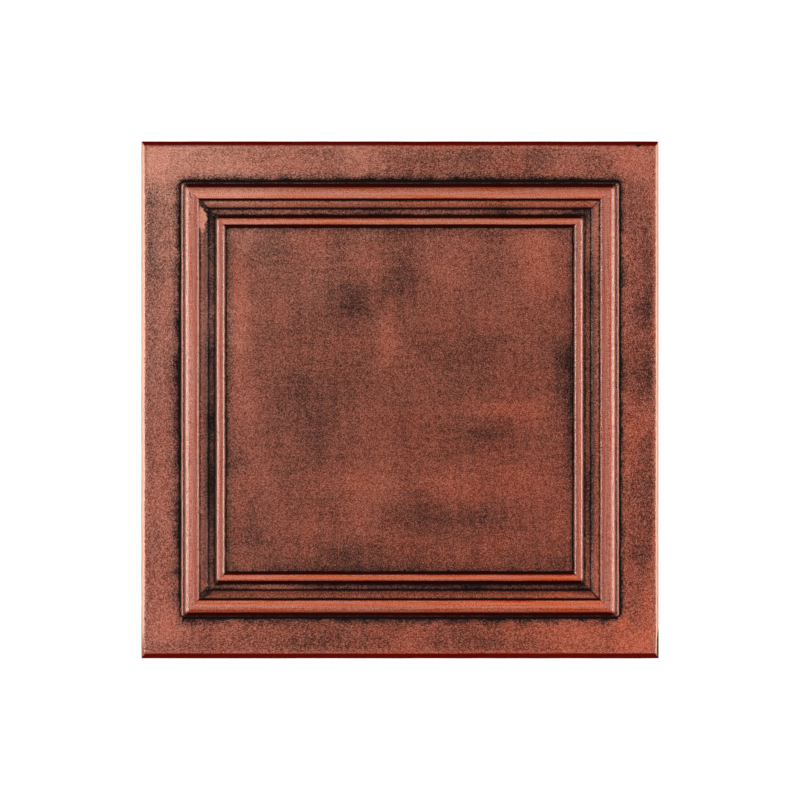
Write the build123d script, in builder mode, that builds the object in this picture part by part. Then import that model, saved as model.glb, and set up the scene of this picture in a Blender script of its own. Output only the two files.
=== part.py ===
"""Square ceiling tile, pressed as one piece from a thin sheet of foam.

From its bevelled outer edge inwards it has a flat border, a frame moulding (a low lip, a broad
crown and a bevelled step), a flat channel, a slim bead and a flat centre panel. The back is flat,
with a hollow pressed into it behind the crown and a smaller one behind the bead.
"""

import os

from build123d import *

# Driving sizes in millimetres. Z = 0 is the flat back, and the decorated face looks along +Z.
tile_side = 19.6 * IN
sheet_thickness = 4.0

# Bevel along the tile's edge, with both of its arrises rounded
edge_bevel_width = 3.5
edge_bevel_height = 1.7
edge_top_radius = 4.0
edge_foot_radius = 1.0

# Plan widths of the relief, from the outer edge towards the centre
border_width = 38.4
lip_width = 3.0
quirk_width = 0.4
crown_outer_width = 11.4
crown_inner_width = 3.7
ledge_width = 1.3
bevel_width = 7.3
channel_width = 6.7
bead_outer_width = 5.9
bead_inner_width = 4.4

# Heights of the relief above the sheet's face
lip_height = 1.5
quirk_height = 1.3
crown_height = 5.5
crown_inner_drop = 1.5
step_height = 2.5
bevel_foot_height = 0.6
bead_height = 3.8

# Plan radii of the outer corners, as a mould's round cutter leaves them. Inner corners are mitred.
lip_corner_radius = 4.4
crown_corner_radius = 5.0
bead_corner_radius = 4.5

# Hollows in the back, set in from the plan edges of the relief in front of them. Pressing lifts
# the back of the broad crown as far as its front, and the back of the slim bead less, by the fill.
crown_hollow_inset = 1.4
bead_hollow_inset = 2.8
bead_hollow_fill = 1.0

# Distances from the centre of the tile to the lines of the relief
half_side = tile_side / 2
lip_outer = half_side - border_width
lip_inner = lip_outer - lip_width
crown_outer = lip_inner - quirk_width
crown_crest = crown_outer - crown_outer_width
crown_inner = crown_crest - crown_inner_width
ledge_inner = crown_inner - ledge_width
step_inner = ledge_inner - bevel_width
bead_outer = step_inner - channel_width
bead_crest = bead_outer - bead_outer_width
bead_inner = bead_crest - bead_inner_width

# Levels above the back
face = sheet_thickness
lip_top = face + lip_height
quirk_top = face + quirk_height
crown_top = face + crown_height
crown_shoulder = crown_top - crown_inner_drop
step_top = face + step_height
bevel_foot = face + bevel_foot_height
bead_hollow_depth = bead_height - bead_hollow_fill


def square_path(half):
    """A square around the tile's centre, on the sheet's face, from the middle of the +X side."""
    with BuildLine(Plane.XY.offset(face)) as path:
        Polyline((half, 0), (half, half), (-half, half), (-half, -half), (half, -half), (half, 0))
    return path.wire()


def add_moulding(section, outer, corner_radius):
    """Runs a section around the tile, turned beyond the axes of the corners and mitred inside them."""
    axis = outer - corner_radius
    path = square_path(axis)
    for side, corner in ((Keep.TOP, Transition.ROUND), (Keep.BOTTOM, Transition.RIGHT)):
        piece = split(section, bisect_by=Plane.YZ.offset(axis), keep=side, mode=Mode.PRIVATE)
        sweep(piece, path=path, transition=corner)


def cut_hollow(outer, inner, depth):
    """Presses a half-round hollow into the back, around the tile."""
    middle = (outer + inner) / 2
    with BuildSketch(Plane.XZ) as section:
        with BuildLine():
            EllipticalCenterArc((middle, 0), outer - middle, depth, arc_size=90)
            EllipticalCenterArc((middle, 0), middle - inner, depth, 90, arc_size=90)
            Line((inner, 0), (outer, 0))
        make_face()
    sweep(section.sketch, path=square_path(middle), transition=Transition.RIGHT, mode=Mode.SUBTRACT)


# The lip is a quarter round, with a flat quirk that runs in under the crown
with BuildSketch(Plane.XZ) as lip_section:
    with BuildLine():
        EllipticalCenterArc((lip_inner, face), lip_width, lip_height, arc_size=90)
        Polyline((lip_inner, lip_top), (lip_inner, quirk_top), (crown_crest, quirk_top))
        Polyline((crown_crest, quirk_top), (crown_crest, face), (lip_outer, face))
    make_face()

# The crown is a flattened round with its crest near the inner edge, and the bevelled step lies inside it
with BuildSketch(Plane.XZ) as crown_section:
    with BuildLine():
        Line((crown_outer, face), (crown_outer, quirk_top))
        EllipticalCenterArc((crown_crest, quirk_top), crown_outer_width, crown_top - quirk_top, arc_size=90)
        EllipticalCenterArc(
            (crown_crest, crown_shoulder), crown_inner_width, crown_inner_drop, 90, arc_size=90
        )
        Polyline((crown_inner, crown_shoulder), (crown_inner, step_top), (ledge_inner, step_top))
        EllipticalCenterArc((ledge_inner, bevel_foot), bevel_width, step_top - bevel_foot, 90, arc_size=90)
        Polyline((step_inner, bevel_foot), (step_inner, face), (crown_outer, face))
    make_face()

# The bead is a half round, steeper on its inner side
with BuildSketch(Plane.XZ) as bead_section:
    with BuildLine():
        EllipticalCenterArc((bead_crest, face), bead_outer_width, bead_height, arc_size=90)
        EllipticalCenterArc((bead_crest, face), bead_inner_width, bead_height, 90, arc_size=90)
        Line((bead_inner, face), (bead_outer, face))
    make_face()

with BuildPart() as tile:
    with BuildSketch():
        Rectangle(tile_side, tile_side)
    extrude(amount=sheet_thickness)
    sheet_face = tile.faces().sort_by(Axis.Z)[-1]
    chamfer(sheet_face.edges(), edge_bevel_width, edge_bevel_height, reference=sheet_face)
    fillet(tile.edges().filter_by(Plane.XY).group_by(Axis.Z)[1], edge_foot_radius)
    fillet(tile.edges().group_by(Axis.Z)[-1], edge_top_radius)

    add_moulding(lip_section.sketch, lip_outer, lip_corner_radius)
    add_moulding(crown_section.sketch, crown_outer, crown_corner_radius)
    add_moulding(bead_section.sketch, bead_outer, bead_corner_radius)

    cut_hollow(crown_outer - crown_hollow_inset, ledge_inner + crown_hollow_inset, crown_height)
    cut_hollow(bead_outer - bead_hollow_inset, bead_inner + bead_hollow_inset, bead_hollow_depth)

tile.part.label = "ceiling_tile"

os.makedirs("parts", exist_ok=True)
export_step(tile.part, "parts/ceiling_tile.step")
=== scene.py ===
"""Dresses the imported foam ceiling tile: its pressed face in antiqued copper paint, its bare foam
back, and the floor, lamps and camera of its picture. Lengths are in metres, with +Z out of the face.
"""

import math

import bpy
import numpy as np
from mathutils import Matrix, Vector, noise


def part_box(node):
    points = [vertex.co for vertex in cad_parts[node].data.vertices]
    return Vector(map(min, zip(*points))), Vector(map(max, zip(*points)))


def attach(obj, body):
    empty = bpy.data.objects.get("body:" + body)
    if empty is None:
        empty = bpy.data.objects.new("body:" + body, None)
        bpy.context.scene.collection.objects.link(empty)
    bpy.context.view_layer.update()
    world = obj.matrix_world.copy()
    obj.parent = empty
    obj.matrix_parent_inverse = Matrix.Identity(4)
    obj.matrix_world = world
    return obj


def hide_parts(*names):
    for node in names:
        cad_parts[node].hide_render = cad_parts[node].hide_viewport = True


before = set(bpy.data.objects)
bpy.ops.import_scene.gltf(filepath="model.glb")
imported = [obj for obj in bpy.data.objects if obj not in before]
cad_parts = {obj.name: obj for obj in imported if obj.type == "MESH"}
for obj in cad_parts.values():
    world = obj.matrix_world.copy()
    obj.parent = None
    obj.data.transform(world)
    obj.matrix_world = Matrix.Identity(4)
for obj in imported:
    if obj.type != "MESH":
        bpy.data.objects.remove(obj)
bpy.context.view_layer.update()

MM = 0.001
NODE = "ceiling_tile"

# The tile's section, as its solid has it within a millimetre: how far its lines lie from the centre
HALF_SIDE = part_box(NODE)[1].x
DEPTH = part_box(NODE)[1].z
SHEET = 4.0 * MM
LIP_OUTER = HALF_SIDE - 38.4 * MM
LIP_INNER = LIP_OUTER - 2.4 * MM
CROWN_OUTER = LIP_INNER - 0.4 * MM
CROWN_CREST = CROWN_OUTER - 12.0 * MM
CROWN_INNER = CROWN_CREST - 3.7 * MM
LEDGE_INNER = CROWN_INNER - 1.3 * MM
STEP_INNER = LEDGE_INNER - 7.3 * MM
BEAD_OUTER = STEP_INNER - 6.7 * MM
BEAD_CREST = BEAD_OUTER - 5.9 * MM
BEAD_INNER = BEAD_CREST - 4.4 * MM

# Levels above the back
LIP_TOP = SHEET + 1.5 * MM
QUIRK_TOP = SHEET + 1.3 * MM
CROWN_SHOULDER = DEPTH - 2.0 * MM
STEP_TOP = SHEET + 2.5 * MM
BEVEL_FOOT = SHEET + 0.6 * MM
BEAD_TOP = SHEET + 3.8 * MM

# How full the outer slopes of the crown and bead are pressed: 2 is a plain ellipse
CROWN_FULLNESS = 2.2
BEAD_FULLNESS = 2.15

# Bevel along the tile's edge: its plan width and height, and the radii of its two arrises
BEVEL_WIDTH = 3.5 * MM
BEVEL_HEIGHT = 1.7 * MM
BEVEL_TOP_RADIUS = 4.0 * MM
BEVEL_FOOT_RADIUS = 1.0 * MM

# Axes that the outer corners of the mouldings turn about
LIP_AXIS = LIP_OUTER - 4.4 * MM
CROWN_AXIS = CROWN_OUTER - 5.0 * MM
BEAD_AXIS = BEAD_OUTER - 4.5 * MM

# Flat ground beyond the lip that turns the corners with it
LIP_GROUND = 4.0 * MM

# Hollows in the back: outer and inner plan distance, and depth
HOLLOWS = (
    (CROWN_OUTER - 2.0 * MM, LEDGE_INNER + 1.4 * MM, DEPTH - SHEET),
    (BEAD_OUTER - 2.8 * MM, BEAD_INNER + 2.8 * MM, BEAD_TOP - SHEET - 1.0 * MM),
)

# How finely the mesh follows the section and the sides
FINE_STEP = 0.42 * MM
FLAT_STEP = 4.5 * MM
BACK_STEP = 1.3 * MM
SECTION_SOFTNESS = 0.22 * MM
SOFTNESS_STEPS = 4
ARC_POINTS = 60
BORDER_FLAT = (LIP_OUTER + 2 * MM, HALF_SIDE - 2 * BEVEL_WIDTH)
CORNER_POINTS = 4
CORNER_HOLDS = np.array([0.0, 0.4, 1.0, 2.2, 4.5]) * MM
SIDE_SPANS = 56
PANEL_RIM = BEAD_INNER - 2.5 * MM

# Pressed foam isn't quite true: its lines and faces wander by this much
WANDER = 0.14 * MM
WANDER_LENGTH = 28 * MM
SWELL = 0.10 * MM
WANDER_SEEDS = (1.5, 3.5)
SWELL_SEED = 5.5

# Where its lines were pressed off true: place, reach and shift along X, and the same along Y
SHIFTS_X = (
    (-194 * MM, 5.0 * MM, -0.6 * MM),
    (-183.5 * MM, 3.5 * MM, -0.7 * MM),
    (-171.5 * MM, 6.5 * MM, -1.3 * MM),
    (175 * MM, 4.0 * MM, 0.5 * MM),
    (210 * MM, 3.5 * MM, 0.5 * MM),
    (245.5 * MM, 3.0 * MM, 0.6 * MM),
)
SHIFTS_Y = (
    (-211.5 * MM, 3.0 * MM, 1.9 * MM),
    (-193 * MM, 4.0 * MM, 1.1 * MM),
    (-183.5 * MM, 3.5 * MM, 1.1 * MM),
    (-167 * MM, 3.0 * MM, 1.3 * MM),
    (167 * MM, 3.0 * MM, -0.6 * MM),
    (176.5 * MM, 3.5 * MM, 0.8 * MM),
    (193 * MM, 4.0 * MM, -0.35 * MM),
    (211.5 * MM, 2.5 * MM, -0.6 * MM),
)

# How much wider (narrower below 0) and deeper the bevel was pressed along the top and the bottom
TOP_PRESS = (-1.3 * MM, 0.1 * MM)
BOTTOM_PRESS = (1.4 * MM, 0.9 * MM)
PRESS_FADE = 8.0 * MM

# The map that the finish is drawn on: the face fills most of it, and the back has a corner
FACE_SHARE = 0.9
BACK_SHARE = 0.085
MAP_MARGIN = 0.005

# Material slots of the face and the back
PAINTED = 0
BARE = 1


def quarter(centre, radii, start, turn, fullness=2.0):
    """Points on part of an ellipse in the section, through an angle in degrees. Above 2 is fuller."""
    angles = np.radians(np.linspace(start, start + turn, ARC_POINTS))
    across, up = np.cos(angles), np.sin(angles)
    across = np.sign(across) * np.abs(across) ** (2 / fullness)
    up = np.sign(up) * np.abs(up) ** (2 / fullness)
    return [(centre[0] + radii[0] * a, centre[1] + radii[1] * b) for a, b in zip(across, up)]


def rows(points, axis):
    """Section points with the radius that the corner has there, about its axis."""
    return [(s, z, max(0.0, s - axis)) for s, z in points]


def edge_section():
    """The bevel along the tile's edge, with its arrises rounded, and the upright below it."""
    tilt = math.degrees(math.atan2(BEVEL_HEIGHT, BEVEL_WIDTH))
    top = HALF_SIDE - BEVEL_WIDTH - BEVEL_TOP_RADIUS * math.tan(math.radians(tilt / 2))
    foot = SHEET - BEVEL_HEIGHT - BEVEL_FOOT_RADIUS * math.tan(math.radians(45 - tilt / 2))
    points = quarter((top, SHEET - BEVEL_TOP_RADIUS), (BEVEL_TOP_RADIUS,) * 2, 90, -tilt)
    points += quarter((HALF_SIDE - BEVEL_FOOT_RADIUS, foot), (BEVEL_FOOT_RADIUS,) * 2, 90 - tilt, tilt - 90)
    return points + [(HALF_SIDE, 0.0)]


def face_section():
    """The face from the panel's rim out to the foot of the tile's edge."""
    bead_rise = BEAD_TOP - SHEET
    bead = quarter((BEAD_CREST, SHEET), (BEAD_CREST - BEAD_INNER, bead_rise), 180, -90)
    bead += quarter((BEAD_CREST, SHEET), (BEAD_OUTER - BEAD_CREST, bead_rise), 90, -90, BEAD_FULLNESS)
    step = [(STEP_INNER, SHEET)]
    step += quarter((LEDGE_INNER, BEVEL_FOOT), (LEDGE_INNER - STEP_INNER, STEP_TOP - BEVEL_FOOT), 180, -90)
    step += [(CROWN_INNER, STEP_TOP)]
    crown = quarter(
        (CROWN_CREST, CROWN_SHOULDER), (CROWN_CREST - CROWN_INNER, DEPTH - CROWN_SHOULDER), 180, -90
    )
    crown += quarter(
        (CROWN_CREST, QUIRK_TOP), (CROWN_OUTER - CROWN_CREST, DEPTH - QUIRK_TOP), 90, -90, CROWN_FULLNESS
    )
    lip = [(LIP_INNER, QUIRK_TOP)]
    lip += quarter((LIP_INNER, SHEET), (LIP_OUTER - LIP_INNER, LIP_TOP - SHEET), 90, -90)
    lip += [(LIP_OUTER + LIP_GROUND, SHEET)]
    return (
        rows([(PANEL_RIM, SHEET)], HALF_SIDE)
        + rows(bead, BEAD_AXIS)
        + rows(step, HALF_SIDE)
        + rows(crown, CROWN_AXIS)
        + rows(lip, LIP_AXIS)
        + rows(edge_section(), HALF_SIDE)
    )


def back_section():
    """The back from the foot of the tile's edge in to the panel's rim."""
    points = [(HALF_SIDE, 0.0)]
    for outer, inner, depth in HOLLOWS:
        middle = (outer + inner) / 2
        points += quarter((middle, 0.0), (outer - middle, depth), 0, 180)
    return rows(points + [(PANEL_RIM, 0.0)], HALF_SIDE)


def along(section):
    """Distance run along a section to each of its rows."""
    runs = np.hypot(np.diff(section[:, 0]), np.diff(section[:, 1]))
    return np.concatenate([[0.0], np.cumsum(runs)])


def softened(section, softness):
    """The section in even steps, with its corners rounded as pressing leaves them."""
    step = softness / SOFTNESS_STEPS
    reach = 3 * SOFTNESS_STEPS
    run = along(section)
    even = np.arange(0.0, run[-1], step)
    level = np.stack([np.interp(even, run, column) for column in section.T], axis=1)
    offsets = np.arange(-reach, reach + 1) * step
    weights = np.exp(-0.5 * (offsets / softness) ** 2)
    padded = np.pad(level, ((reach, reach), (0, 0)), mode="reflect", reflect_type="odd")
    smooth = [np.convolve(column, weights / weights.sum(), mode="valid") for column in padded.T]
    return np.vstack([section[0], np.stack(smooth, axis=1)[1:-1], section[-1]])


def chosen_rings(section, flat, fine_step, flat_step):
    """Rows picked from a section, close together except where it runs flat from flat[0] to flat[1]."""
    run = along(section)
    start, end = (np.interp(s, section[:, 0], run) for s in flat)
    picks = np.concatenate(
        [
            np.linspace(0.0, start, math.ceil(start / fine_step) + 1),
            np.linspace(start, end, math.ceil((end - start) / flat_step) + 1)[1:-1],
            np.linspace(end, run[-1], math.ceil((run[-1] - end) / fine_step) + 1),
        ]
    )
    return np.stack([np.interp(picks, run, column) for column in section.T], axis=1)


def side_places(half):
    """Places along a side of that half length, close together near its ends so that mitres stay crisp."""
    near = CORNER_HOLDS
    middle = np.linspace(-half + near[-1], half - near[-1], SIDE_SPANS + 1)[1:-1]
    return np.concatenate([near - half, middle, (half - near)[::-1]])


def ring_points(s, radius):
    """A square ring at plan distance s, with its corners turned on a radius, anticlockwise from +X."""
    half = s - radius
    side = [(s, t) for t in side_places(half)]
    angles = np.radians(np.linspace(0, 90, CORNER_POINTS + 2)[1:-1])
    corner = [(half + radius * math.cos(a), half + radius * math.sin(a)) for a in angles]
    quadrant = np.array(side + corner)
    turned = []
    for _ in range(4):
        turned.append(quadrant)
        quadrant = np.stack([-quadrant[:, 1], quadrant[:, 0]], axis=1)
    return np.concatenate(turned)


class TileMesh:
    """Collects the tile's vertices with their plan distances, and its faces with their map places."""

    def __init__(self):
        self.vertices = []
        self.distances = []
        self.faces = []
        self.face_materials = []
        self.face_places = []

    def ring(self, s, z, radius):
        """Adds a ring and returns its vertex numbers. A mitred corner is one vertex."""
        points = ring_points(s, radius)
        numbers = []
        known = {}
        for x, y in points:
            key = (round(x, 7), round(y, 7))
            if key not in known:
                known[key] = len(self.vertices)
                self.vertices.append((x, y, z))
                self.distances.append(s)
            numbers.append(known[key])
        return numbers

    def face(self, corners, material, places):
        kept = [i for i, number in enumerate(corners) if number not in corners[:i]]
        if len(kept) > 2:
            self.faces.append([corners[i] for i in kept])
            self.face_materials.append(material)
            self.face_places.append([places[i] for i in kept])

    def band(self, outer, inner, material, outer_places, inner_places):
        """Faces between two rings, seen from the side that has the outer ring outside."""
        count = len(outer)
        for i in range(count):
            j = (i + 1) % count
            self.face(
                [inner[i], outer[i], outer[j], inner[j]],
                material,
                [inner_places[i], outer_places[i], outer_places[j], inner_places[j]],
            )

    def panel(self, ring, half, z, material, place, upward):
        """Fills a mitred ring with a grid."""
        places = side_places(half)
        count = len(places)
        per_quadrant = count + CORNER_POINTS
        rim = {}
        for i in range(count):
            rim[count - 1, i] = ring[i]
            rim[count - 1 - i, count - 1] = ring[per_quadrant + i]
            rim[0, count - 1 - i] = ring[2 * per_quadrant + i]
            rim[i, 0] = ring[3 * per_quadrant + i]
        grid = {}
        for i in range(count):
            for j in range(count):
                if (i, j) in rim:
                    grid[i, j] = rim[i, j]
                else:
                    grid[i, j] = len(self.vertices)
                    self.vertices.append((places[i], places[j], z))
                    self.distances.append(max(abs(places[i]), abs(places[j])))
        for i in range(count - 1):
            for j in range(count - 1):
                corners = [(i, j), (i + 1, j), (i + 1, j + 1), (i, j + 1)]
                if not upward:
                    corners.reverse()
                self.face(
                    [grid[c] for c in corners],
                    material,
                    [place(places[a], places[b]) for a, b in corners],
                )


def face_place(x, y):
    """Map place of a point of the spread-out face, from -1 to 1."""
    return tuple(MAP_MARGIN + FACE_SHARE * (v + 1) / 2 for v in (x, y))


def back_place(x, y):
    """Map place of a point of the back, from -1 to 1."""
    low = 1 - MAP_MARGIN - BACK_SHARE
    return tuple(low + BACK_SHARE * (v + 1) / 2 for v in (x, y))


def ring_places(rings, reaches, most, place):
    """Map places of each ring's points, spread so that steep walls have width too."""
    found = []
    for (s, _, radius), reach in zip(rings, reaches):
        points = ring_points(s, radius) / s * (reach / most)
        found.append([place(x, y) for x, y in points])
    return found


def join_rings(tile, numbers, places, material, outward):
    """Adds the bands between rings that run outwards over the face or inwards over the back."""
    for k in range(len(numbers) - 1):
        near, far = (k + 1, k) if outward else (k, k + 1)
        tile.band(numbers[near], numbers[far], material, places[near], places[far])


def tile_mesh():
    """The whole tile as one closed mesh."""
    tile = TileMesh()
    face = softened(np.array(face_section()), SECTION_SOFTNESS)
    face = chosen_rings(face, BORDER_FLAT, FINE_STEP, FLAT_STEP)
    face_reach = PANEL_RIM + along(face)
    most = face_reach[-1]
    numbers = [tile.ring(*row) for row in face]
    places = ring_places(face, face_reach, most, face_place)
    join_rings(tile, numbers, places, PAINTED, outward=True)
    tile.panel(
        numbers[0], PANEL_RIM, SHEET, PAINTED, lambda x, y: face_place(x / most, y / most), upward=True
    )

    back = np.array(back_section())
    run = along(back)
    picks = np.linspace(0.0, run[-1], math.ceil(run[-1] / BACK_STEP) + 1)
    back = np.stack([np.interp(picks, run, column) for column in back.T], axis=1)
    back_reach = PANEL_RIM + picks[-1] - picks
    back_most = back_reach[0]
    foot = numbers[-1]
    inner = [tile.ring(*row) for row in back[1:]]
    places = ring_places(back, back_reach, back_most, back_place)
    join_rings(tile, [foot] + inner, places, BARE, outward=False)
    tile.panel(
        inner[-1],
        PANEL_RIM,
        0.0,
        BARE,
        lambda x, y: back_place(x / back_most, y / back_most),
        upward=False,
    )
    return tile


def wander(point, seed):
    """Smooth noise from -1 to 1, about as long as the wander of a pressed line."""
    return noise.noise(Vector((point[0] / WANDER_LENGTH, point[1] / WANDER_LENGTH, seed)))


# Patches where more of the dark glaze was left (above 0) or more was wiped off (below 0):
# middle, half widths and strength, in millimetres on the face, with +X right and +Y up
PATCHES = (
    # panel, dark
    (-45, 90, 24, 21, 0.24),
    (1, 116, 16, 28, 0.20),
    (-92, 2, 44, 28, 0.16),
    (-80, -40, 30, 26, 0.10),
    (72, 46, 30, 24, 0.16),
    (82, -32, 24, 13, 0.22),
    (95, 12, 34, 9, 0.10),
    (162, 34, 15, 42, 0.34),
    (166, -32, 8, 44, 0.22),
    (18, -112, 28, 17, 0.22),
    (76, -115, 28, 14, 0.14),
    (-140, -130, 28, 20, 0.16),
    (-50, -150, 34, 12, 0.20),
    (45, 12, 12, 16, 0.08),
    (-78, -100, 16, 14, 0.10),
    (0, 3, 10, 10, 0.08),
    (-155, -60, 18, 9, 0.20),
    (140, -155, 26, 7, 0.12),
    (0, 162, 170, 9, 0.08),
    (0, -162, 170, 9, 0.14),
    (-125, 145, 18, 16, 0.10),
    (90, 138, 18, 22, 0.08),
    # panel, wiped
    (-145, -5, 16, 20, -0.22),
    (-82, 130, 14, 12, -0.12),
    (-118, 88, 14, 14, -0.14),
    (-86, -128, 14, 10, -0.12),
    (162, 72, 12, 12, -0.22),
    (-48, -75, 16, 10, -0.10),
    (108, 14, 18, 10, -0.10),
    (-108, 5, 16, 12, -0.08),
    (0, -132, 16, 12, -0.08),
    (138, -78, 16, 18, -0.10),
    (-156, -100, 8, 26, -0.20),
    (-86, 154, 18, 14, -0.22),
    (-140, 160, 26, 8, -0.14),
    (-118, -122, 13, 20, -0.16),
    (112, -78, 15, 18, -0.20),
    (132, -16, 18, 13, -0.20),
    (15, -16, 15, 10, -0.12),
    (-22, -38, 10, 12, -0.12),
    (128, 156, 16, 10, -0.14),
    (-153, 80, 10, 70, -0.30),
    (-12, 60, 10, 28, -0.26),
    (-30, 136, 18, 20, -0.16),
    (50, 130, 24, 34, -0.20),
    (131, 138, 22, 30, -0.28),
    (136, 108, 12, 18, -0.12),
    (85, 74, 20, 13, -0.14),
    (88, -8, 38, 8, -0.22),
    (-30, -80, 28, 15, -0.20),
    (55, -85, 30, 17, -0.22),
    (-41, -112, 17, 14, -0.14),
    (-88, -118, 4, 45, -0.12),
    (-140, -60, 14, 26, -0.12),
    # top border
    (0, 216, 190, 5, 0.10),
    (0, 244, 235, 2.5, -0.40),
    (-165, 228, 62, 13, -0.22),
    (-105, 230, 12, 14, -0.10),
    (15, 222, 22, 14, 0.08),
    (60, 232, 16, 14, 0.08),
    (162, 226, 13, 14, -0.20),
    (190, 222, 12, 14, 0.10),
    (228, 226, 18, 18, -0.42),
    (242, 205, 8, 30, -0.36),
    (-35, 221, 9, 9, -0.14),
    (-236, 236, 30, 24, -0.34),
    (-38, 238, 18, 16, -0.24),
    (15, 236, 16, 14, 0.05),
    (76, 236, 16, 14, 0.16),
    (131, 236, 13, 14, 0.18),
    (225, 238, 24, 14, -0.20),
    (195, 241, 28, 8, -0.18),
    (132, 220, 12, 12, 0.12),
    (45, 215, 14, 10, 0.08),
    # left border
    (-217, -20, 5.5, 180, 0.26),
    (-222, 95, 6, 34, -0.20),
    (-222, -135, 6, 24, -0.16),
    (-238, 168, 14, 20, 0.10),
    (-241, 137, 8, 14, 0.22),
    (-240, 192, 10, 12, 0.12),
    (-238, 216, 10, 12, -0.14),
    (-212, 166, 7, 14, 0.18),
    (-212, 50, 7, 16, 0.14),
    (-215, -172, 7, 12, 0.14),
    (-232, -45, 14, 12, -0.12),
    (-228, 118, 18, 16, 0.12),
    (-236, -95, 16, 26, -0.16),
    (-232, -190, 18, 40, -0.14),
    # right border
    (214, 0, 4, 190, -0.14),
    (240, 105, 10, 16, 0.06),
    (215, 65, 9, 15, -0.14),
    (240, 62, 12, 12, -0.08),
    (240, 25, 12, 16, 0.16),
    (238, -14, 14, 15, -0.25),
    (236, 85, 14, 13, 0.14),
    (212, 28, 8, 10, -0.14),
    (222, -40, 9, 22, -0.18),
    (241, -120, 8, 16, 0.08),
    (216, -166, 7, 18, -0.22),
    (214, 140, 7, 22, -0.22),
    (234, 112, 10, 10, -0.14),
    (232, -146, 16, 12, 0.14),
    (242, -200, 10, 40, -0.36),
    # bottom border
    (-222, -222, 18, 18, -0.34),
    (-213, -206, 7, 10, -0.30),
    (213, -213, 6, 6, -0.30),
    (-213, 213, 6, 6, -0.20),
    (-150, -234, 50, 12, -0.14),
    (168, -226, 42, 14, -0.26),
    (0, -214, 190, 4, -0.16),
    (0, -242.5, 235, 2.5, -0.25),
    (-100, -236, 26, 12, 0.06),
    (-72, -228, 18, 14, 0.16),
    (10, -236, 18, 14, -0.18),
    (76, -234, 14, 12, 0.08),
    (160, -236, 18, 12, -0.20),
    (232, -236, 26, 16, -0.44),
    # channel and step
    (-182, 45, 7, 24, 0.14),
    (-182, 76, 7, 14, -0.12),
    (-182, -20, 7, 18, 0.30),
    (-182, -85, 7, 30, 0.30),
    (-182, 125, 7, 20, -0.06),
    (-181, 176, 6, 15, 0.30),
    (-150, 181, 26, 6, 0.16),
    (-25, 181, 28, 6, 0.22),
    (100, 181, 14, 6, 0.30),
    (170, 181, 16, 5, 0.34),
    (180, 174, 5, 9, 0.24),
    (172, -182, 10, 4, 0.24),
    (181, 105, 6, 18, 0.20),
    (181, -95, 6, 38, 0.26),
    (70, -181, 14, 6, 0.26),
    (-125, -179, 36, 6, -0.46),
    (30, -186, 120, 5, -0.10),
    (188, 165, 5, 30, -0.45),
    (188, -162, 5, 26, -0.30),
    (158, -189, 22, 5, -0.34),
    (-115, 186, 26, 6, -0.16),
    (150, 188, 30, 5, -0.18),
)


# The same for each side as a whole: left, right, top and bottom, and for the panel
BORDER_WASH = (-0.10, 0.03, -0.12, -0.01)
# On the lips the top and bottom get more black as painted shade
LIP_WASH_AND_SHADE = (-0.20, -0.36, 0.60, 0.55)
CHANNEL_WASH = (0.11, -0.08, -0.10, 0.20)
PANEL_WASH = 0.05


def side_wash(x, y):
    """Extra or less glaze on this side of the border, lip or channel; on top and bottom lips the extra is
    painted shade.
    """
    across = max(abs(x), abs(y))
    if across < BEAD_CREST:
        return PANEL_WASH
    if across < CROWN_CREST:
        levels = CHANNEL_WASH
    elif across < LIP_OUTER:
        levels = LIP_WASH_AND_SHADE
    else:
        levels = BORDER_WASH
    left, right, top, bottom = levels
    if abs(x) > abs(y):
        return right if x > 0 else left
    return top if y > 0 else bottom


def wash_at(x, y):
    """How much more or less glaze than usual lies at a place on the face."""
    total = side_wash(x, y)
    for middle_x, middle_y, half_x, half_y, strength in PATCHES:
        u = (x / MM - middle_x) / half_x
        v = (y / MM - middle_y) / half_y
        total += strength * math.exp(-(u * u + v * v))
    return total


def pressed_edge(x, y, z):
    """Y and Z of a point, with the bevel along the top and bottom as wide and deep as it was pressed."""
    wider, deeper = TOP_PRESS if y > 0 else BOTTOM_PRESS
    inward = HALF_SIDE - abs(y)
    if inward > 4 * BEVEL_WIDTH:
        return y, z
    shift = wider * np.interp(inward, [0.0, BEVEL_WIDTH, 4 * BEVEL_WIDTH], [0.0, 1.0, 0.0])
    share = np.interp(abs(y) - abs(x), [-PRESS_FADE, 0.0], [0.0, 1.0])
    drop = deeper * share * np.interp(z, [0.0, SHEET - BEVEL_HEIGHT, SHEET], [0.0, 1.0, 0.0])
    return y - math.copysign(shift, y), z - drop


def set_off(value, shifts):
    """A coordinate with the shifts of the lines near it."""
    return value + sum(shift * math.exp(-(((value - at) / reach) ** 2)) for at, reach, shift in shifts)


def make_tile():
    """The dressed tile, in place of its solid."""
    tile = tile_mesh()
    points = []
    for x, y, z in tile.vertices:
        here = (x, y)
        lift = SWELL * wander(here, SWELL_SEED) if z > 0.0 else 0.0
        y, z = pressed_edge(x, y, z)
        x, y = set_off(x, SHIFTS_X), set_off(y, SHIFTS_Y)
        off_x, off_y = (WANDER * wander(here, seed) for seed in WANDER_SEEDS)
        points.append((x + off_x, y + off_y, z + lift))
    mesh = bpy.data.meshes.new("pressed_foam_tile")
    mesh.from_pydata(points, [], tile.faces)
    mesh.polygons.foreach_set("material_index", tile.face_materials)
    mesh.polygons.foreach_set("use_smooth", [True] * len(tile.faces))
    places = mesh.uv_layers.new(name="OFBake")
    flat_places = [v for face in tile.face_places for place in face for v in place]
    places.data.foreach_set("uv", flat_places)
    wash = mesh.attributes.new("wash", "FLOAT", "POINT")
    wash.data.foreach_set("value", [wash_at(x, y) for x, y, z in points])
    across = mesh.attributes.new("across", "FLOAT", "POINT")
    across.data.foreach_set("value", tile.distances)
    mesh.validate()
    mesh.update()
    piece = bpy.data.objects.new("pressed_foam_tile", mesh)
    bpy.context.scene.collection.objects.link(piece)
    return piece


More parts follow.
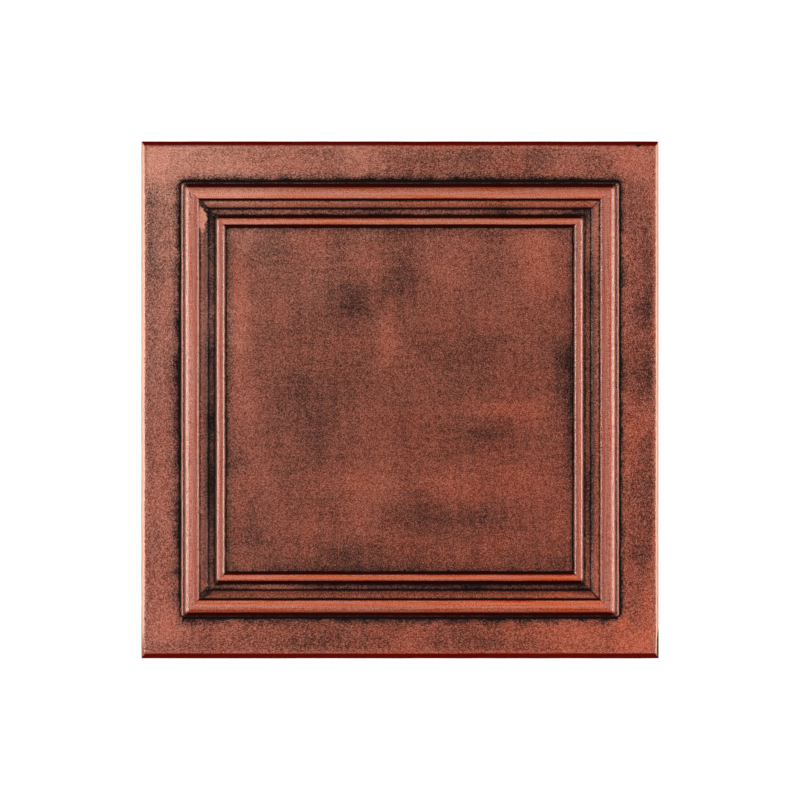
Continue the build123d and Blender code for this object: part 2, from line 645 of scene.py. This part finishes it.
# How much glaze lies at each plan distance from the centre, in the feet of the relief
FEET = (
    (BEAD_INNER - 10 * MM, 0.0),
    (BEAD_INNER - 3.0 * MM, 0.09),
    (BEAD_INNER - 1.2 * MM, 0.32),
    (BEAD_INNER - 0.4 * MM, 1.0),
    (BEAD_INNER + 0.5 * MM, 0.95),
    (BEAD_INNER + 1.2 * MM, 0.10),
    (BEAD_INNER + 2.2 * MM, 0.0),
    (BEAD_OUTER - 1.6 * MM, 0.0),
    (BEAD_OUTER - 0.6 * MM, 0.55),
    (BEAD_OUTER + 0.2 * MM, 1.0),
    (BEAD_OUTER + 1.0 * MM, 0.55),
    (BEAD_OUTER + 2.6 * MM, 0.20),
    (STEP_INNER - 2.2 * MM, 0.20),
    (STEP_INNER - 0.6 * MM, 0.46),
    (STEP_INNER + 0.1 * MM, 0.56),
    (STEP_INNER + 1.3 * MM, 0.20),
    (LEDGE_INNER - 1.8 * MM, 0.05),
    (LEDGE_INNER - 0.3 * MM, 0.05),
    (LEDGE_INNER + 0.4 * MM, 0.55),
    (CROWN_INNER, 0.75),
    (CROWN_INNER + 0.7 * MM, 0.0),
    (CROWN_OUTER - 1.2 * MM, 0.0),
    (CROWN_OUTER + 0.1 * MM, 0.60),
    (LIP_INNER + 0.1 * MM, 0.55),
    (LIP_INNER + 0.8 * MM, 0.10),
    (LIP_OUTER - 0.5 * MM, 0.16),
    (LIP_OUTER + 0.1 * MM, 1.0),
    (LIP_OUTER + 1.2 * MM, 1.0),
    (LIP_OUTER + 2.4 * MM, 0.50),
    (LIP_OUTER + 4.8 * MM, 0.20),
    (LIP_OUTER + 8.5 * MM, 0.0),
    (HALF_SIDE - 7.0 * MM, 0.11),
)

# Where the wiped wash shows: on the flats, less on the bevel and lip, and rubbed off near the rim.
# Below it is how much there is before the patches are added.
FLATS = (
    (BEAD_INNER - 2.0 * MM, 1.0),
    (BEAD_INNER + 0.5 * MM, 0.0),
    (BEAD_OUTER, 0.0),
    (BEAD_OUTER + 1.0 * MM, 1.0),
    (LEDGE_INNER - 3.0 * MM, 0.8),
    (LEDGE_INNER + 0.3 * MM, 0.5),
    (CROWN_INNER, 0.0),
    (CROWN_OUTER - 3.0 * MM, 0.0),
    (CROWN_OUTER, 0.5),
    (LIP_OUTER, 0.5),
    (LIP_OUTER + 1.0 * MM, 1.0),
    (HALF_SIDE - 7.0 * MM, 1.0),
    (HALF_SIDE - 5.0 * MM, 0.30),
    (HALF_SIDE - 3.2 * MM, 0.0),
)
WASH_LEVEL = 0.45

# How fine the patterns of the wash are, in cells a metre, and how strong
CLOUD_SCALE = 24.0
CLOUD_STRENGTH = 0.26
STREAKS_UP = (150.0, 16.0, 1.0)
STREAKS_SIDE = (16.0, 150.0, 1.0)
STREAK_STRENGTH = 0.36
FEATHER_SCALE = 48.0
FEATHER_STRENGTH = 1.3
FEATHER_ENDS = (LIP_OUTER + 12 * MM, LIP_OUTER + 2 * MM)
WOBBLE_SCALE = 110.0
WOBBLE = 1.8 * MM
# Painted shade: extra black on slopes on the right that face left
LEFT_FACING_SHADE = 0.25

# The same for the brush's lines along the mouldings, and how much closer they lie than they are long
LINE_SCALE = 11.0
LINE_CLOSENESS = 60.0
LINE_STRENGTH = 1.5

# The foam's grain: its scale, how far it is drawn out along the level and upright borders, and how
# strongly it shows on the mouldings of the sides, on those of the top and bottom, and on the flats
GRAIN_SCALE = 1150.0
LEVEL_DRAW = -0.35
UPRIGHT_DRAW = -0.30
SIDE_GRAIN = 3.2
LEVEL_GRAIN = 1.7
FLAT_GRAIN = 1.65

# Where the step's mitres hold black
MITRES = (
    (STEP_INNER - 1.5 * MM, 0.0),
    (STEP_INNER, 1.0),
    (CROWN_INNER - 0.4 * MM, 1.0),
    (CROWN_INNER + 0.3 * MM, 0.0),
)

# How wide that black is, how much wider at the bottom and at the left, and its shift at the left
MITRE_WIDTH = 0.5 * MM
MITRE_BOTTOM = 0.8 * MM
MITRE_LEFT = 3.2 * MM
MITRE_SHIFT = -2.0 * MM

# The paint's colours. The copper's go by how far right and down a place lies, in metres. Then come how
# much white its grain adds, partly as painted glints, and how much brighter the crests along the top and
# bottom are made, a painted highlight.
COPPER = (
    (-0.45, (0.64, 0.240, 0.155, 1.0)),
    (-0.20, (0.49, 0.132, 0.072, 1.0)),
    (0.20, (0.49, 0.098, 0.040, 1.0)),
    (0.45, (0.60, 0.108, 0.036, 1.0)),
)
GRAIN_AND_GLINT_PALENESS = 0.45
CREST_HIGHLIGHT_GAIN = (1.36, 1.44, 1.43, 1.0)
# Painted shade: deep reds for slopes facing the top and bottom, and for the top and bottom edges
SHADE_RED = (0.11, 0.003, 0.0012, 1.0)
TOP_EDGE_SHADE_RED = (0.28, 0.003, 0.0008, 1.0)
BOTTOM_EDGE_SHADE_RED = (0.38, 0.0095, 0.0006, 1.0)
# A painted highlight: cream for slopes that face the sides
SIDE_HIGHLIGHT = (0.88, 0.49, 0.33, 1.0)
# Worn copper, and the blacks of thin and full glaze
WORN = (0.82, 0.32, 0.20, 1.0)
FILM = (0.013, 0.012, 0.0115, 1.0)
GLAZE = (0.008, 0.0055, 0.005, 1.0)

# How the copper's colour drifts, and how far it follows its place on the mouldings of the sides and
# on those of the top and bottom
DRIFT_SCALE = 14.0
DRIFT_STRENGTH = 0.45
SIDE_WARMTH = 0.4
LEVEL_WARMTH = 0.8

# Slopes on which the painted shade, the painted highlight, the painted shade of left-facing slopes and the
# gloss each start and are full, as the sideways part of the way they face
SHADE_SLOPES = (0.22, 0.36)
SIDE_HIGHLIGHT_SLOPES = (0.22, 0.42)
LEFT_FACING_SHADE_SLOPES = (-0.02, -0.18)
GLOSS_SLOPES = (0.16, 0.03)

# How much of the painted highlight the slopes inside the edge get, and how it fades by the bottom left
# corner
SIDE_HIGHLIGHT_INSIDE = 0.3
CORNER_SLANT = 0.25
CORNER_FADE = (-304 * MM, -278 * MM, 0.35, 1.0)

# The paint's surface: roughness of copper and black, gloss of the copper's coat, pits and dents
COPPER_ROUGHNESS = 0.50
BLACK_ROUGHNESS = 0.60
PAINT_SPECULAR = 0.05
GLOSS = 0.85
GLOSS_ROUGHNESS = 0.22
GLOSS_INDEX = 1.7
PIT_DEPTH = 2.3
DENT_SCALE = 130.0
DENT_DEPTH = 0.9
BUMP_STRENGTH = 0.6
BUMP_DISTANCE = 0.12 * MM

# The bare foam of the back
FOAM_SHADE = (0.80, 0.79, 0.76, 1.0)
FOAM_LIGHT = (0.86, 0.855, 0.84, 1.0)
FOAM_CELL_SCALE = 900.0
FOAM_CLOUD_SCALE = 18.0

# How much the crests of the mouldings along the top and the bottom are brightened, as a painted highlight
CREST_HIGHLIGHTS = (
    (BEAD_CREST - 3.0 * MM, 0.0),
    (BEAD_CREST - 1.0 * MM, 1.0),
    (BEAD_CREST + 1.0 * MM, 1.0),
    (BEAD_CREST + 3.5 * MM, 0.2),
    (BEAD_OUTER, 0.0),
    (CROWN_INNER, 0.0),
    (CROWN_CREST - 2.0 * MM, 0.8),
    (CROWN_CREST - 0.5 * MM, 1.0),
    (CROWN_CREST + 1.0 * MM, 1.0),
    (CROWN_CREST + 3.5 * MM, 0.55),
    (CROWN_OUTER - 3.0 * MM, 0.4),
    (CROWN_OUTER, 0.0),
)

# Black on the edges, a fleck at the top right and a painted shadow along the right edge near the bottom:
# their middles and half widths
FLECKS_AND_EDGE_SHADE = (
    (229.5 * MM, 244.8 * MM, 2.8 * MM, 1.3 * MM),
    (248.9 * MM, -236.0 * MM, 1.5 * MM, 15.0 * MM),
)
FLECK_AND_SHADE_SCALE = 420.0
FLECK_AND_SHADE_RAGGED = 1.2
FLECK_AND_SHADE_STRENGTH = 1.5

# A worn place on the step by its top left corner: its middle and half widths
WORN_PLACE = (-190.2 * MM, 175.0 * MM)
WORN_REACH = (4.2 * MM, 13.0 * MM)
WORN_SCALE = 260.0
WORN_RAGGED = 1.4
WORN_SHARE = 0.7


class Shader:
    """A material's nodes. Each method adds a node and returns its output."""

    def __init__(self, name):
        self.material = bpy.data.materials.new(name)
        self.material.use_nodes = True
        self.tree = self.material.node_tree
        self.surface = self.tree.nodes["Principled BSDF"]

    def node(self, kind, inputs=(), **settings):
        node = self.tree.nodes.new(kind)
        for name, value in settings.items():
            setattr(node, name, value)
        for socket, value in inputs:
            self.feed(node.inputs[socket], value)
        return node

    def feed(self, socket, value):
        if isinstance(value, bpy.types.NodeSocket):
            self.tree.links.new(value, socket)
        else:
            socket.default_value = value

    def place(self):
        return self.node("ShaderNodeTexCoord").outputs["Object"]

    def facing(self):
        return self.node("ShaderNodeTexCoord").outputs["Normal"]

    def parts(self, vector):
        return self.node("ShaderNodeSeparateXYZ", [(0, vector)]).outputs

    def joined(self, x, y, z):
        return self.node("ShaderNodeCombineXYZ", [(0, x), (1, y), (2, z)]).outputs[0]

    def attribute(self, name):
        return self.node("ShaderNodeAttribute", attribute_name=name).outputs["Fac"]

    def math(self, operation, *values, clamp=False):
        node = self.node("ShaderNodeMath", enumerate(values), operation=operation, use_clamp=clamp)
        return node.outputs[0]

    def scaled(self, vector, factors):
        node = self.node("ShaderNodeVectorMath", [(0, vector), (1, factors)], operation="MULTIPLY")
        return node.outputs[0]

    def raised(self, vector, amount):
        """A colour with as much white added, down to black."""
        node = self.node("ShaderNodeVectorMath", [(0, vector), (1, amount)], operation="ADD")
        floor = [(0, node.outputs[0]), (1, (0.002, 0.002, 0.002))]
        return self.node("ShaderNodeVectorMath", floor, operation="MAXIMUM").outputs[0]

    def noise(self, vector, scale, detail=2.0, roughness=0.5, distortion=0.0):
        inputs = [
            ("Vector", vector),
            ("Scale", scale),
            ("Detail", detail),
            ("Roughness", roughness),
            ("Distortion", distortion),
        ]
        return self.node("ShaderNodeTexNoise", inputs).outputs["Fac"]

    def spread(self, value, low, high, to_low=0.0, to_high=1.0):
        inputs = [(0, value), (1, low), (2, high), (3, to_low), (4, to_high)]
        return self.node("ShaderNodeMapRange", inputs, interpolation_type="SMOOTHSTEP").outputs[0]

    def tints(self, value, stops):
        """A colour along a line of stops, each a place and a colour."""
        low, high = stops[0][0], stops[-1][0]
        ramp = self.node("ShaderNodeValToRGB", [(0, self.spread_even(value, low, high))])
        elements = ramp.color_ramp.elements
        for _ in stops[2:]:
            elements.new(1.0)
        for element, (place, colour) in zip(elements, stops):
            element.position = (place - low) / (high - low)
            element.color = colour
        return ramp.outputs["Color"]

    def curve(self, value, stops):
        """A value along a line of stops, each a place and a level from 0 to 1."""
        return self.tints(value, [(place, (level, level, level, 1.0)) for place, level in stops])

    def spread_even(self, value, low, high):
        inputs = [(0, value), (1, low), (2, high), (3, 0.0), (4, 1.0)]
        return self.node("ShaderNodeMapRange", inputs).outputs[0]

    def mixed(self, factor, first, second):
        node = self.node("ShaderNodeMix", data_type="RGBA")
        self.feed(node.inputs["Factor"], factor)
        self.feed(node.inputs["A"], first)
        self.feed(node.inputs["B"], second)
        return node.outputs["Result"]

    def mix_value(self, factor, first, second):
        node = self.node("ShaderNodeMix", data_type="FLOAT")
        for socket, value in zip(("Factor", "A", "B"), (factor, first, second)):
            self.feed(node.inputs[socket], value)
        return node.outputs["Result"]


def mitre_glaze(paint, x, y, across, wobble):
    """Black left in the mitres of the step, widest at the left."""
    left = paint.math("LESS_THAN", x, 0.0)
    bottom = paint.math("LESS_THAN", y, 0.0)
    from_mitre = paint.math("SUBTRACT", paint.math("ABSOLUTE", x), paint.math("ABSOLUTE", y))
    from_mitre = paint.math("MULTIPLY_ADD", left, MITRE_SHIFT, from_mitre)
    from_mitre = paint.math("ABSOLUTE", from_mitre)
    width = paint.math("MULTIPLY_ADD", bottom, MITRE_BOTTOM, MITRE_WIDTH)
    width = paint.math("MULTIPLY_ADD", left, MITRE_LEFT, width)
    width = paint.math("MULTIPLY", width, paint.spread(wobble, 0.3, 0.7, 0.6, 1.4))
    wedge = paint.math("LESS_THAN", from_mitre, width)
    return paint.math("MULTIPLY", wedge, paint.curve(across, MITRES))


def wiped_wash(paint, place):
    """Glaze washed and wiped over the flats, in clouds and in strokes both ways."""
    cloud = paint.noise(place, CLOUD_SCALE, detail=3.0, roughness=0.55)
    streaks_up = paint.noise(paint.scaled(place, STREAKS_UP), 1.0, detail=3.0, roughness=0.6)
    streaks_side = paint.noise(paint.scaled(place, STREAKS_SIDE), 1.0, detail=3.0, roughness=0.6)
    streaks = paint.math("ADD", streaks_up, streaks_side)
    wash = paint.math("ADD", paint.attribute("wash"), WASH_LEVEL)
    wash = paint.math("MULTIPLY_ADD", paint.math("SUBTRACT", cloud, 0.5), CLOUD_STRENGTH, wash)
    return paint.math("MULTIPLY_ADD", paint.math("SUBTRACT", streaks, 1.0), STREAK_STRENGTH, wash)


def brushed_lines(paint, x, y, across, flat):
    """Lines that the brush left along the mouldings, around 0."""
    run = paint.joined(x, y, paint.math("MULTIPLY", across, LINE_CLOSENESS))
    lines = paint.noise(run, LINE_SCALE, detail=3.0, roughness=0.6)
    lines = paint.math("SUBTRACT", lines, 0.5)
    return paint.math("MULTIPLY", lines, paint.math("SUBTRACT", 1.0, flat))


def flecks_and_edge_shade(paint, place, x, y):
    """Small black places on the tile's edges: a fleck, and a painted shadow along the right edge."""
    ragged = paint.noise(place, FLECK_AND_SHADE_SCALE, detail=2.0)
    found = 0.0
    for middle_x, middle_y, half_x, half_y in FLECKS_AND_EDGE_SHADE:
        off_x = paint.math("DIVIDE", paint.math("SUBTRACT", x, middle_x), half_x)
        off_y = paint.math("DIVIDE", paint.math("SUBTRACT", y, middle_y), half_y)
        off = paint.math("ADD", paint.math("POWER", off_x, 2.0), paint.math("POWER", off_y, 2.0))
        off = paint.math("MULTIPLY_ADD", paint.math("SUBTRACT", ragged, 0.5), FLECK_AND_SHADE_RAGGED, off)
        found = paint.math("MAXIMUM", found, paint.spread(off, 1.1, 0.7))
    return found


def feathered(paint, place, across):
    """The ragged outer side of the black along the frame."""
    ragged = paint.noise(place, FEATHER_SCALE, detail=3.0, roughness=0.65)
    ragged = paint.math("SUBTRACT", ragged, 0.5)
    reach = paint.spread(across, *FEATHER_ENDS, 0.0, FEATHER_STRENGTH)
    reach = paint.math("MULTIPLY", reach, paint.math("GREATER_THAN", across, LIP_OUTER))
    return paint.math("MULTIPLY", ragged, reach)


def worn_spot(paint, place, x, y):
    """Where the step is worn down to clean copper, by its top left corner."""
    worn_x = paint.math("DIVIDE", paint.math("SUBTRACT", x, WORN_PLACE[0]), WORN_REACH[0])
    worn_y = paint.math("DIVIDE", paint.math("SUBTRACT", y, WORN_PLACE[1]), WORN_REACH[1])
    ragged = paint.noise(place, WORN_SCALE, detail=2.0)
    worn = paint.math("ADD", paint.math("POWER", worn_x, 2.0), paint.math("POWER", worn_y, 2.0))
    worn = paint.math("SQRT", worn)
    worn = paint.math("MULTIPLY_ADD", paint.math("SUBTRACT", ragged, 0.5), WORN_RAGGED, worn)
    return paint.spread(worn, 1.0, 0.8)


def level_sides(paint, x, y):
    """1 along the top and bottom of the tile and 0 along its left and right."""
    return paint.math("LESS_THAN", paint.math("ABSOLUTE", x), paint.math("ABSOLUTE", y))


def grain(paint, x, y, z, across):
    """Speckle of the foam's pits, drawn out along the border by the wiping."""
    outside = paint.math("GREATER_THAN", across, LIP_OUTER)
    level = level_sides(paint, x, y)
    upright = paint.math("SUBTRACT", 1.0, level)
    shrink_x = paint.math("MULTIPLY_ADD", paint.math("MULTIPLY", outside, level), LEVEL_DRAW, 1.0)
    shrink_y = paint.math("MULTIPLY_ADD", paint.math("MULTIPLY", outside, upright), UPRIGHT_DRAW, 1.0)
    place = paint.joined(paint.math("MULTIPLY", x, shrink_x), paint.math("MULTIPLY", y, shrink_y), z)
    return paint.noise(place, GRAIN_SCALE, detail=1.0, roughness=0.6)


def copper_colour(paint, place, x, y, across, flat, speckle, lines):
    """Copper, paler to the top left and redder to the bottom right, with pale specks that are partly
    painted glints.
    """
    drift = paint.noise(place, DRIFT_SCALE, detail=2.0)
    warmth = paint.math("SUBTRACT", x, y)
    warmth = paint.math("MULTIPLY_ADD", paint.math("SUBTRACT", drift, 0.5), DRIFT_STRENGTH, warmth)
    level = level_sides(paint, x, y)
    share = paint.mix_value(flat, paint.mix_value(level, SIDE_WARMTH, LEVEL_WARMTH), 1.0)
    copper = paint.tints(paint.math("MULTIPLY", warmth, share), COPPER)
    # A painted highlight that brightens the crests along the top and bottom
    crest_highlight = paint.math("MULTIPLY", paint.curve(across, CREST_HIGHLIGHTS), level)
    copper = paint.scaled(copper, paint.mixed(crest_highlight, (1.0, 1.0, 1.0, 1.0), CREST_HIGHLIGHT_GAIN))
    # Pale specks of the grain, partly painted glints, and the brush's lines
    pale = paint.math("ADD", paint.math("SUBTRACT", 0.5, speckle), lines)
    return paint.raised(copper, paint.math("MULTIPLY", pale, GRAIN_AND_GLINT_PALENESS))


def copper_paint():
    """Copper paint wiped over black, which is left in the feet of the relief and in the foam's pits."""
    paint = Shader("antiqued_copper_paint")
    place = paint.place()
    x, y, z = paint.parts(place)
    facing_x, facing_y, _ = paint.parts(paint.facing())
    across = paint.attribute("across")
    edge = paint.spread(across, LIP_OUTER, HALF_SIDE - BEVEL_WIDTH)
    flat = paint.curve(across, FLATS)
    wobble = paint.noise(place, WOBBLE_SCALE, detail=3.0, roughness=0.6)
    line = paint.math("MULTIPLY_ADD", paint.math("SUBTRACT", wobble, 0.5), WOBBLE, across)

    # How much black lies here. Slopes on the right that face left get more of it as painted shade.
    tone = paint.math("MULTIPLY_ADD", wiped_wash(paint, place), flat, paint.curve(line, FEET))
    lines = brushed_lines(paint, x, y, across, flat)
    tone = paint.math("MULTIPLY_ADD", lines, LINE_STRENGTH, tone)
    tone = paint.math("ADD", tone, feathered(paint, place, across))
    worn = worn_spot(paint, place, x, y)
    tone = paint.math("MULTIPLY", tone, paint.math("SUBTRACT", 1.0, worn))
    tone = paint.math("MAXIMUM", tone, mitre_glaze(paint, x, y, across, wobble))
    right = paint.math("GREATER_THAN", x, 0.0)
    left_facing_shade = paint.math("MULTIPLY", paint.spread(facing_x, *LEFT_FACING_SHADE_SLOPES), right)
    tone = paint.math("MULTIPLY_ADD", left_facing_shade, LEFT_FACING_SHADE, tone)
    # Black flecks on the edges, and a painted shadow along the right edge near the bottom
    flecks_and_shade = flecks_and_edge_shade(paint, place, x, y)
    tone = paint.math("MULTIPLY_ADD", flecks_and_shade, FLECK_AND_SHADE_STRENGTH, tone)
    speckle = grain(paint, x, y, z, across)
    gain = paint.mix_value(level_sides(paint, x, y), SIDE_GRAIN, LEVEL_GRAIN)
    gain = paint.mix_value(flat, gain, FLAT_GRAIN)
    speckled = paint.math("MULTIPLY_ADD", paint.math("SUBTRACT", speckle, 0.5), gain, tone)
    glaze = paint.spread(speckled, -0.1, 1.1)

    # Slopes facing the top and bottom get painted shade in deep red, with other reds on the top and bottom
    # edges.
    # Slopes facing the sides get a paler painted highlight, strongest along the tile's edges, and less
    # black.
    copper = copper_colour(paint, place, x, y, across, flat, speckle, lines)
    copper = paint.mixed(paint.math("MULTIPLY", worn, WORN_SHARE), copper, WORN)
    painted_shade = paint.spread(paint.math("ABSOLUTE", facing_y), *SHADE_SLOPES)
    edge_shade_red = paint.mixed(paint.math("GREATER_THAN", y, 0.0), BOTTOM_EDGE_SHADE_RED, TOP_EDGE_SHADE_RED)
    copper = paint.mixed(painted_shade, copper, paint.mixed(edge, SHADE_RED, edge_shade_red))
    side_highlight = paint.spread(paint.math("ABSOLUTE", facing_x), *SIDE_HIGHLIGHT_SLOPES)
    side_highlight = paint.math("MULTIPLY", side_highlight, paint.mix_value(edge, SIDE_HIGHLIGHT_INSIDE, 1.0))
    corner = paint.math("MULTIPLY_ADD", x, CORNER_SLANT, y)
    side_highlight = paint.math("MULTIPLY", side_highlight, paint.spread(corner, *CORNER_FADE))
    side_highlight = paint.math("MULTIPLY", side_highlight, paint.math("SUBTRACT", 1.0, flecks_and_shade))
    copper = paint.mixed(side_highlight, copper, SIDE_HIGHLIGHT)
    glaze = paint.math("MULTIPLY", glaze, paint.spread(side_highlight, 0.4, 1.0, 1.0, 0.2))

    black = paint.mixed(paint.spread(tone, 0.6, 1.1), FILM, GLAZE)
    paint.feed(paint.surface.inputs["Base Color"], paint.mixed(glaze, copper, black))
    paint.feed(paint.surface.inputs["Metallic"], paint.mix_value(glaze, 1.0, 0.0))
    paint.feed(paint.surface.inputs["Roughness"], paint.mix_value(glaze, COPPER_ROUGHNESS, BLACK_ROUGHNESS))
    paint.feed(paint.surface.inputs["Specular IOR Level"], PAINT_SPECULAR)
    gloss = paint.mix_value(glaze, GLOSS, 0.0)
    # The coat is dulled on slopes facing the top and bottom, darkening them further
    gloss = paint.math("MULTIPLY", gloss, paint.spread(paint.math("ABSOLUTE", facing_y), *GLOSS_SLOPES))
    paint.feed(paint.surface.inputs["Coat Weight"], gloss)
    paint.feed(paint.surface.inputs["Coat Roughness"], GLOSS_ROUGHNESS)
    paint.feed(paint.surface.inputs["Coat IOR"], GLOSS_INDEX)

    # Fine pits, and long faint dents that break up the highlights of the mouldings
    pits = paint.math("MULTIPLY", paint.math("SUBTRACT", 0.5, speckle), PIT_DEPTH)
    dents = paint.noise(place, DENT_SCALE, detail=2.0)
    height = paint.math("MULTIPLY_ADD", dents, DENT_DEPTH, pits)
    inputs = [("Strength", BUMP_STRENGTH), ("Distance", BUMP_DISTANCE), ("Height", height)]
    bump = paint.node("ShaderNodeBump", inputs)
    paint.feed(paint.surface.inputs["Normal"], bump.outputs["Normal"])
    return paint.material


def bare_foam():
    """White extruded foam, with its fine cells."""
    foam = Shader("bare_white_foam")
    place = foam.place()
    cells = foam.noise(place, FOAM_CELL_SCALE, detail=2.0)
    cloud = foam.noise(place, FOAM_CLOUD_SCALE, detail=3.0)
    colour = foam.mixed(cloud, FOAM_SHADE, FOAM_LIGHT)
    foam.feed(foam.surface.inputs["Base Color"], colour)
    foam.feed(foam.surface.inputs["Roughness"], foam.mix_value(cells, 0.62, 0.8))
    bump = foam.node("ShaderNodeBump", [("Strength", 0.3), ("Distance", 0.1 * MM), ("Height", cells)])
    foam.feed(foam.surface.inputs["Normal"], bump.outputs["Normal"])
    return foam.material


# The floor: half its side, its level just under the tile, and its white
FLOOR_REACH = 40.0
FLOOR_LEVEL = -0.3 * MM
FLOOR_COLOUR = (0.82, 0.82, 0.82, 1.0)
FLOOR_ROUGHNESS = 0.9
FLOOR_GLOW = 0.6
WHITE = (1.0, 1.0, 1.0, 1.0)

# Lamps: place, size across and along Y, and power in watts
LAMPS = {
    "left_lamp": ((-1.53, 0.0, 1.53), (0.8, 0.9), 15.5),
    "right_lamp": ((1.60, 0.0, 1.46), (0.8, 0.9), 14.5),
    "left_overhead_lamp": ((-1.15, 0.3, 4.0), (0.9, 4.2), 24.0),
    "right_overhead_lamp": ((1.15, 0.3, 4.0), (0.9, 4.2), 18.0),
    "top_overhead_lamp": ((0.0, 1.35, 4.0), (1.3, 0.9), 8.0),
    "bottom_overhead_lamp": ((0.0, -1.35, 4.0), (1.3, 0.9), 7.6),
}
SURROUND = 0.06


def make_floor():
    """A white floor. It looks white to the camera and in gloss, and still takes the tile's shadow."""
    mesh = bpy.data.meshes.new("floor")
    signs = [(-1, -1), (1, -1), (1, 1), (-1, 1)]
    corners = [(x * FLOOR_REACH, y * FLOOR_REACH, FLOOR_LEVEL) for x, y in signs]
    mesh.from_pydata(corners, [], [(0, 1, 2, 3)])
    floor = bpy.data.objects.new("floor", mesh)
    bpy.context.scene.collection.objects.link(floor)
    look = Shader("white_floor")
    look.surface.inputs["Base Color"].default_value = FLOOR_COLOUR
    look.surface.inputs["Roughness"].default_value = FLOOR_ROUGHNESS
    path = look.node("ShaderNodeLightPath").outputs
    seen = look.math("MAXIMUM", path["Is Camera Ray"], path["Is Glossy Ray"])
    seen = look.math("MAXIMUM", seen, path["Is Transmission Ray"])
    look.surface.inputs["Emission Color"].default_value = WHITE
    look.feed(look.surface.inputs["Emission Strength"], look.math("MULTIPLY", seen, FLOOR_GLOW))
    mesh.materials.append(look.material)


def make_lamp(name, place, size, power):
    """A soft rectangular lamp that leans over to face the tile. Its size is across it and along Y."""
    light = bpy.data.lights.new(name, "AREA")
    light.shape = "RECTANGLE"
    light.size, light.size_y = size
    light.energy = power
    lamp = bpy.data.objects.new(name, light)
    lamp.location = place
    lamp.rotation_euler = (0.0, math.atan2(place[0], place[2]), 0.0)
    bpy.context.scene.collection.objects.link(lamp)


def light_scene():
    """A lamp on each side, broad soft ones overhead around the camera, and a dim surround."""
    for name, (place, size, power) in LAMPS.items():
        make_lamp(name, place, size, power)
    world = bpy.data.worlds.new("surround")
    world.use_nodes = True
    world.node_tree.nodes["Background"].inputs["Color"].default_value = WHITE
    world.node_tree.nodes["Background"].inputs["Strength"].default_value = SURROUND
    bpy.context.scene.world = world


# The photograph's frame: pixels a side, the tile's side in pixels and the middle of the tile
FRAME_PIXELS = 800
TILE_PIXELS = 516.9
TILE_MIDDLE = (399.85, 399.95)
CAMERA_HEIGHT = 3.0
SENSOR_WIDTH = 36.0


def make_camera():
    """Straight above the tile, with the photograph's framing."""
    metres_a_pixel = 2 * HALF_SIDE / TILE_PIXELS
    data = bpy.data.cameras.new("camera")
    data.sensor_width = SENSOR_WIDTH
    data.lens = SENSOR_WIDTH * CAMERA_HEIGHT / (FRAME_PIXELS * metres_a_pixel)
    camera = bpy.data.objects.new("camera", data)
    camera.location = (
        (FRAME_PIXELS / 2 - TILE_MIDDLE[0]) * metres_a_pixel,
        (TILE_MIDDLE[1] - FRAME_PIXELS / 2) * metres_a_pixel,
        CAMERA_HEIGHT,
    )
    bpy.context.scene.collection.objects.link(camera)
    bpy.context.scene.camera = camera


make_camera()
light_scene()
make_floor()
piece = make_tile()
piece.data.materials.append(copper_paint())
piece.data.materials.append(bare_foam())
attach(piece, "root")
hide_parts(NODE)

bpy.context.scene.view_settings.view_transform = "Standard"
